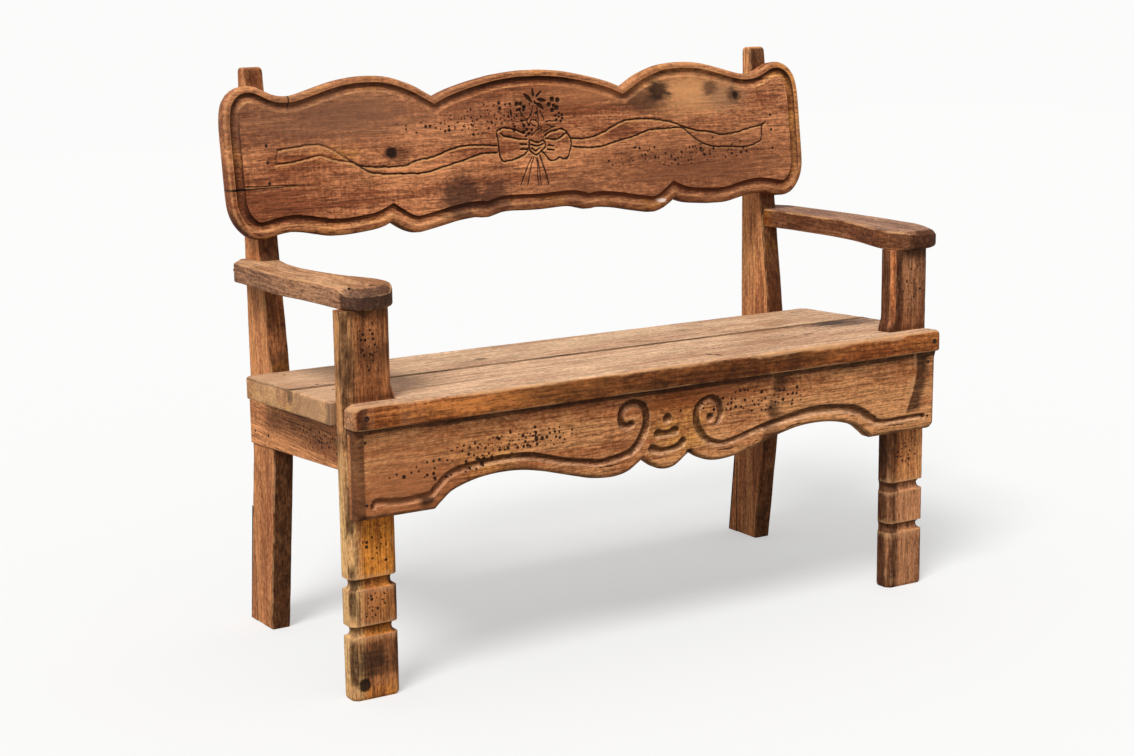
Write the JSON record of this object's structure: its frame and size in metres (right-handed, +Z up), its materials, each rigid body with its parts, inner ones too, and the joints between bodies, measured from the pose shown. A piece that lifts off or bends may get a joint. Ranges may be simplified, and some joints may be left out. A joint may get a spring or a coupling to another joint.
{
  "type": "settle bench",
  "caption": "Rustic stained pine settle: a scalloped plank back with an engraved ribbon, flat arms, grooved front posts and a scalloped, carved front apron.",
  "frame": {"origin": "on the floor, under the middle of the bench's bounding box", "axes": "+X along the bench, to the right of someone standing in front of it, +Y from the front to the back, +Z up"},
  "size_m": [1.1676, 0.5206, 0.934],
  "materials": {
    "back_pine": "stained, worn satin",
    "leg_pine": "stained, worn satin",
    "front_pine": "stained, worn satin",
    "seat_pine": "worn, satin",
    "rail_pine": "stained, satin",
    "arm_pine": "worn, satin",
    "nail_iron": "aged, dull"
  },
  "bodies": {
    "root": {"backrest_board": "back_pine", "left_rear_post": "leg_pine", "right_rear_post": "leg_pine", "left_heel": "leg_pine", "right_heel": "leg_pine", "left_front_post": "front_pine", "right_front_post": "front_pine", "front_apron": "front_pine", "seat_front_plank": "seat_pine", "seat_rear_plank": "seat_pine", "left_side_rail": "rail_pine", "right_side_rail": "rail_pine", "rear_rail": "rail_pine", "left_arm": "arm_pine", "right_arm": "arm_pine", "back_nail_left_1": "nail_iron", "back_nail_left_2": "nail_iron", "back_nail_left_3": "nail_iron", "apron_nail_left_1": "nail_iron", "apron_nail_left_2": "nail_iron", "lip_screw_left": "nail_iron", "seat_nail_left_1": "nail_iron", "seat_nail_left_2": "nail_iron", "seat_nail_left_3": "nail_iron", "rail_nail_left_1": "nail_iron", "rail_nail_left_2": "nail_iron", "rail_end_nail_left_1": "nail_iron", "rail_end_nail_left_2": "nail_iron", "rear_rail_nail_left_1": "nail_iron", "rear_rail_nail_left_2": "nail_iron", "arm_nail_left_1": "nail_iron", "arm_nail_left_2": "nail_iron", "arm_side_nail_left_1": "nail_iron", "arm_side_nail_left_2": "nail_iron", "back_nail_right_1": "nail_iron", "back_nail_right_2": "nail_iron", "back_nail_right_3": "nail_iron", "apron_nail_right_1": "nail_iron", "apron_nail_right_2": "nail_iron", "lip_screw_right": "nail_iron", "seat_nail_right_1": "nail_iron", "seat_nail_right_2": "nail_iron", "seat_nail_right_3": "nail_iron", "rail_nail_right_1": "nail_iron", "rail_nail_right_2": "nail_iron", "rail_end_nail_right_1": "nail_iron", "rail_end_nail_right_2": "nail_iron", "rear_rail_nail_right_1": "nail_iron", "rear_rail_nail_right_2": "nail_iron", "arm_nail_right_1": "nail_iron", "arm_nail_right_2": "nail_iron", "arm_side_nail_right_1": "nail_iron", "arm_side_nail_right_2": "nail_iron"}
  },
  "joints": []
}
